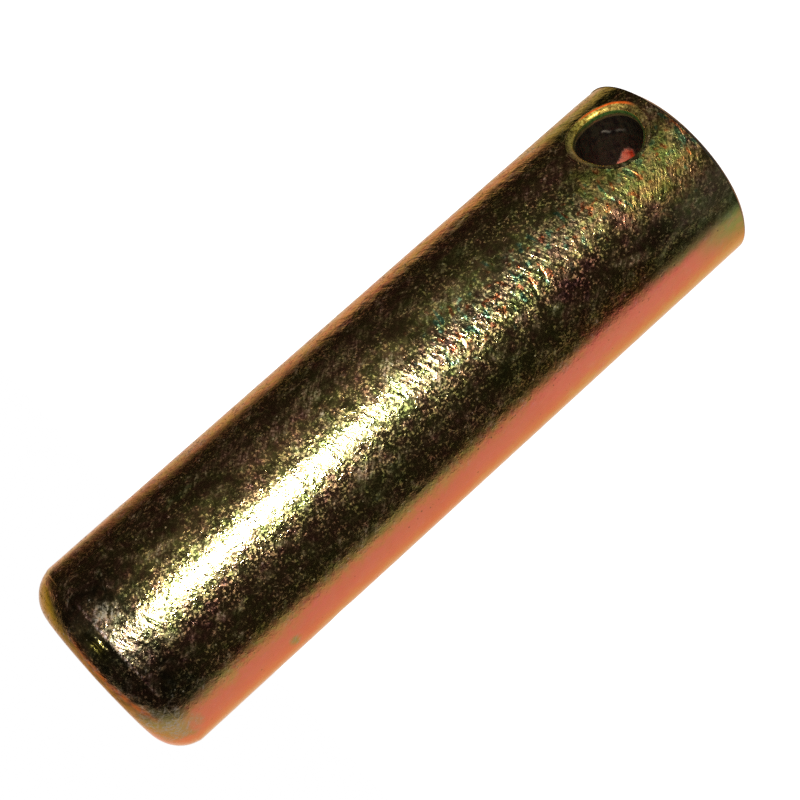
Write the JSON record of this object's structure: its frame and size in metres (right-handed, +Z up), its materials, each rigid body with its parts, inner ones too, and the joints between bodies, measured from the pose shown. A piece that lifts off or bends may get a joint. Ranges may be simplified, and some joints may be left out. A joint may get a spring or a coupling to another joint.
{
  "type": "pivot pin",
  "caption": "Solid round pivot pin, yellow zinc plated, with a rounded lead-in end and a cross hole for a retaining pin near its square end.",
  "frame": {"origin": "centre of the square, drilled end's face, which the pin stands on", "axes": "+Z up the pin's axis, from the drilled end to the rounded lead-in end; the cross hole runs along Y"},
  "size_m": [0.0254, 0.0254, 0.0889],
  "materials": {
    "yellow_zinc_steel": "turned steel, zinc plated with a yellow chromate: gold, olive-green and pink cast, semi-gloss, with fine barrel-plating dings and scuffs"
  },
  "bodies": {
    "root": {"pivot_pin": "yellow_zinc_steel"}
  },
  "joints": []
}
